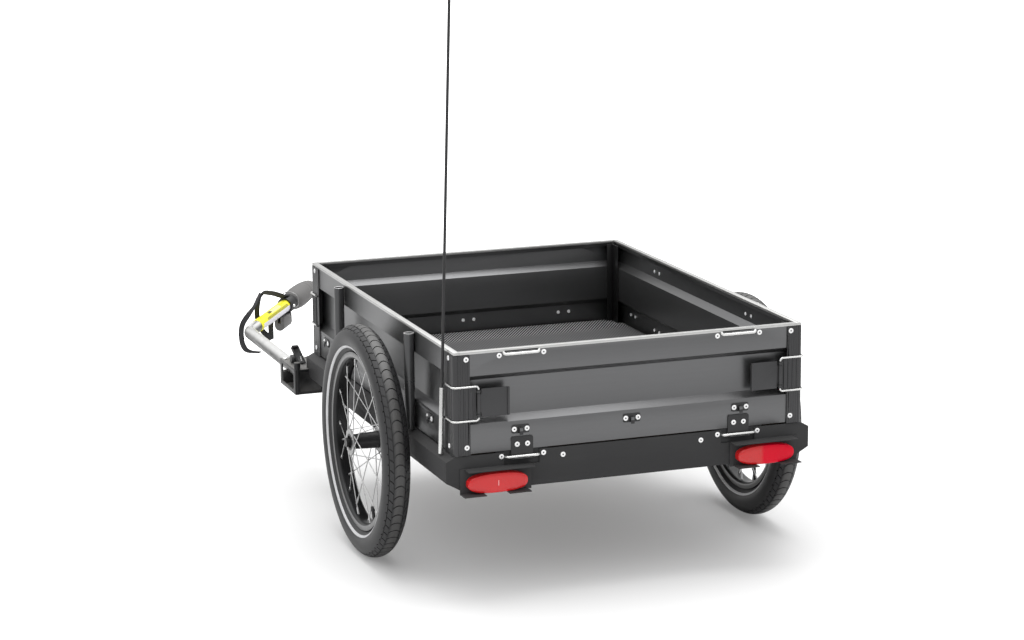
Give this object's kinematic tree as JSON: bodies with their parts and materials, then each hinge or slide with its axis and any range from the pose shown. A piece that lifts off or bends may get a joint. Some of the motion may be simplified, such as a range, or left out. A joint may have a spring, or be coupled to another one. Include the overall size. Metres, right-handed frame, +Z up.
{
  "type": "bicycle cargo trailer",
  "caption": "Open-topped box trailer for a bicycle, with folding end panels, corner latches, spoked wheels and a side drawbar with a rubber coupling.",
  "frame": {"origin": "middle of the floor board's upper face", "axes": "+Z up, +Y the way the trailer is towed, +X to its right"},
  "size_m": [0.806, 1.5421, 1.0807],
  "materials": {
    "floor_board": "black film-faced board",
    "base_black": "black powder coat",
    "panel_grey": "satin grey coating",
    "corner_profile": "dark anodised",
    "bright_steel": "bright zinc plating",
    "stake_grey": "satin grey",
    "reflector_red": "clear red",
    "tyre_rubber": "matt",
    "rim_black": "black anodised",
    "tube_aluminium": "brushed, clear anodised",
    "plastic_black": "satin",
    "coupling_rubber": "matt light grey",
    "strap_webbing": "woven"
  },
  "bodies": {
    "base": {"floor_board": "floor_board", "left_side_rail": "base_black", "right_side_rail": "base_black", "rear_cross_rail": "base_black", "front_cross_rail": "base_black", "axle_beam": "base_black", "left_panel": "panel_grey", "right_panel": "panel_grey", "drawbar_bracket": "base_black", "flag_holder": "bright_steel", "left_stub_axle": "bright_steel", "left_reflector": "reflector_red", "left_reflector_bracket": "base_black", "left_panel_rear_cap": "corner_profile", "rear_left_hinge_wire": "bright_steel", "left_rear_stake": "stake_grey", "left_panel_front_cap": "corner_profile", "front_left_hinge_wire": "bright_steel", "left_front_stake": "stake_grey", "right_stub_axle": "bright_steel", "right_reflector": "reflector_red", "right_reflector_bracket": "base_black", "right_panel_rear_cap": "corner_profile", "rear_right_hinge_wire": "bright_steel", "right_rear_stake": "stake_grey", "right_panel_front_cap": "corner_profile", "front_right_hinge_wire": "bright_steel", "right_front_stake": "stake_grey"},
    "left_wheel": {"left_tyre": "tyre_rubber", "left_rim": "rim_black", "left_hub": "bright_steel"},
    "right_wheel": {"right_tyre": "tyre_rubber", "right_rim": "rim_black", "right_hub": "bright_steel"},
    "rear_panel_assembly": {"rear_panel": "panel_grey", "rear_panel_left_cap": "corner_profile", "rear_left_hinge_leaf": "corner_profile", "rear_panel_right_cap": "corner_profile", "rear_right_hinge_leaf": "corner_profile"},
    "rear_left_latch_lever": {"rear_left_latch_lever": "corner_profile"},
    "rear_left_latch_bail": {"rear_left_latch_bail": "bright_steel"},
    "rear_right_latch_lever": {"rear_right_latch_lever": "corner_profile"},
    "rear_right_latch_bail": {"rear_right_latch_bail": "bright_steel"},
    "front_panel_assembly": {"front_panel": "panel_grey", "front_panel_left_cap": "corner_profile", "front_left_hinge_leaf": "corner_profile", "front_panel_right_cap": "corner_profile", "front_right_hinge_leaf": "corner_profile"},
    "front_left_latch_lever": {"front_left_latch_lever": "corner_profile"},
    "front_left_latch_bail": {"front_left_latch_bail": "bright_steel"},
    "front_right_latch_lever": {"front_right_latch_lever": "corner_profile"},
    "front_right_latch_bail": {"front_right_latch_bail": "bright_steel"},
    "drawbar": {"drawbar_tube": "tube_aluminium", "coupling_collar": "plastic_black", "safety_strap": "strap_webbing"},
    "drawbar_clamp_lever": {"drawbar_clamp_lever": "plastic_black"},
    "coupling_boot": {"coupling_boot": "coupling_rubber"},
    "coupling_tongue": {"coupling_tongue": "coupling_rubber"},
    "flag_pole": {"flag_pole": "plastic_black"}
  },
  "joints": [
    {"name": "left_wheel_spin", "type": "hinge", "parent": "base", "child": "left_wheel", "pos_m": [-0.3677, -0.0803, -0.0655], "axis": [1, 0, 0], "continuous": true},
    {"name": "right_wheel_spin", "type": "hinge", "parent": "base", "child": "right_wheel", "pos_m": [0.3677, -0.0803, -0.0655], "axis": [1, 0, 0], "continuous": true},
    {"name": "rear_panel_fold", "type": "hinge", "parent": "base", "child": "rear_panel_assembly", "pos_m": [0, -0.4242, -0.0245], "axis": [1, 0, 0], "range_deg": [0, 120]},
    {"name": "rear_left_latch_lever_turn", "type": "hinge", "parent": "rear_panel_assembly", "child": "rear_left_latch_lever", "pos_m": [-0.274, -0.4238, 0.0725], "axis": [0, 0, -1], "range_deg": [0, 100]},
    {"name": "rear_left_latch_bail_turn", "type": "hinge", "parent": "rear_panel_assembly", "child": "rear_left_latch_bail", "pos_m": [-0.274, -0.4238, 0.0725], "axis": [0, 0, 1], "range_deg": [0, 120]},
    {"name": "rear_right_latch_lever_turn", "type": "hinge", "parent": "rear_panel_assembly", "child": "rear_right_latch_lever", "pos_m": [0.274, -0.4238, 0.0725], "axis": [0, 0, 1], "range_deg": [0, 100]},
    {"name": "rear_right_latch_bail_turn", "type": "hinge", "parent": "rear_panel_assembly", "child": "rear_right_latch_bail", "pos_m": [0.274, -0.4238, 0.0725], "axis": [0, 0, -1], "range_deg": [0, 120]},
    {"name": "front_panel_fold", "type": "hinge", "parent": "base", "child": "front_panel_assembly", "pos_m": [0, 0.4242, -0.0245], "axis": [-1, 0, 0], "range_deg": [0, 90]},
    {"name": "front_left_latch_lever_turn", "type": "hinge", "parent": "front_panel_assembly", "child": "front_left_latch_lever", "pos_m": [-0.274, 0.4238, 0.0725], "axis": [0, 0, 1], "range_deg": [0, 100]},
    {"name": "front_left_latch_bail_turn", "type": "hinge", "parent": "front_panel_assembly", "child": "front_left_latch_bail", "pos_m": [-0.274, 0.4238, 0.0725], "axis": [0, 0, -1], "range_deg": [0, 120]},
    {"name": "front_right_latch_lever_turn", "type": "hinge", "parent": "front_panel_assembly", "child": "front_right_latch_lever", "pos_m": [0.274, 0.4238, 0.0725], "axis": [0, 0, -1], "range_deg": [0, 100]},
    {"name": "front_right_latch_bail_turn", "type": "hinge", "parent": "front_panel_assembly", "child": "front_right_latch_bail", "pos_m": [0.274, 0.4238, 0.0725], "axis": [0, 0, 1], "range_deg": [0, 120]},
    {"name": "drawbar_slide", "type": "slide", "parent": "base", "child": "drawbar", "axis": [0, 1, 0], "range_m": [0, 0.085]},
    {"name": "drawbar_clamp_turn", "type": "hinge", "parent": "base", "child": "drawbar_clamp_lever", "pos_m": [-0.3435, 0.463, -0.0364], "axis": [-1, 0, 0], "range_deg": [0, 80]},
    {"name": "coupling_swivel", "type": "hinge", "parent": "drawbar", "child": "coupling_boot", "pos_m": [-0.18602, 1.02254, -0.03818], "axis": [0.778, -0.6282, 0], "range_deg": [-30, 30]},
    {"name": "coupling_tongue_turn", "type": "hinge", "parent": "drawbar", "child": "coupling_tongue", "pos_m": [-0.21541, 0.98616, -0.06722], "axis": [0.778, -0.6282, 0], "range_deg": [0, 75]},
    {"name": "flag_pole_lift", "type": "slide", "parent": "base", "child": "flag_pole", "axis": [0.0213, -0.0355, 0.9991], "range_m": [0, 0.1]}
  ]
}
